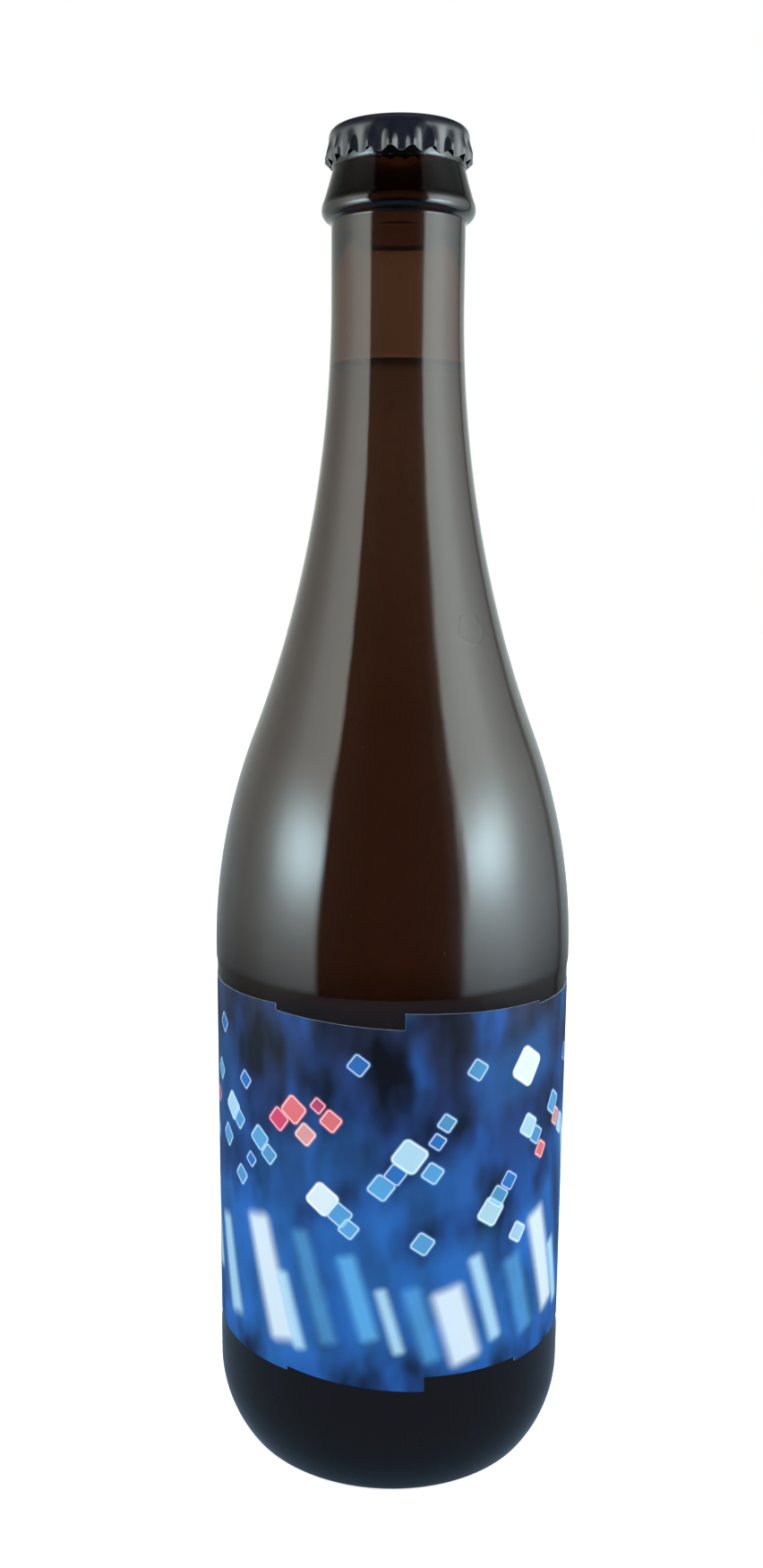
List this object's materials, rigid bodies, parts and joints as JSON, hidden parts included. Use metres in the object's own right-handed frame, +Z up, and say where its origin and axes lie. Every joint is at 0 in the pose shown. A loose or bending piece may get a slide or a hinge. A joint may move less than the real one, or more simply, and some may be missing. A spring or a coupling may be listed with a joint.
{
  "type": "filled beer bottle",
  "caption": "Tall dark amber glass bottle with long sloping shoulders, full of beer, closed by a fluted crown cap and wrapped in a paper label with stepped edges.",
  "frame": {"origin": "centre of the standing ring, on the bottle's axis in the plane that it stands on", "axes": "+Z up along the bottle's axis of symmetry to the cap, -Y towards the front of the label, +X to the label's right"},
  "size_m": [0.0816, 0.0816, 0.295],
  "materials": {
    "amber_glass": "smooth dark amber container glass, faintly smudged",
    "beer": "hazy brown liquid",
    "cap_metal": "glossy near-black navy lacquer on pressed tinplate",
    "label_paper": null
  },
  "bodies": {
    "root": {"bottle": "amber_glass", "beer": "beer", "crown_cap": "cap_metal", "label": "label_paper"}
  },
  "joints": []
}
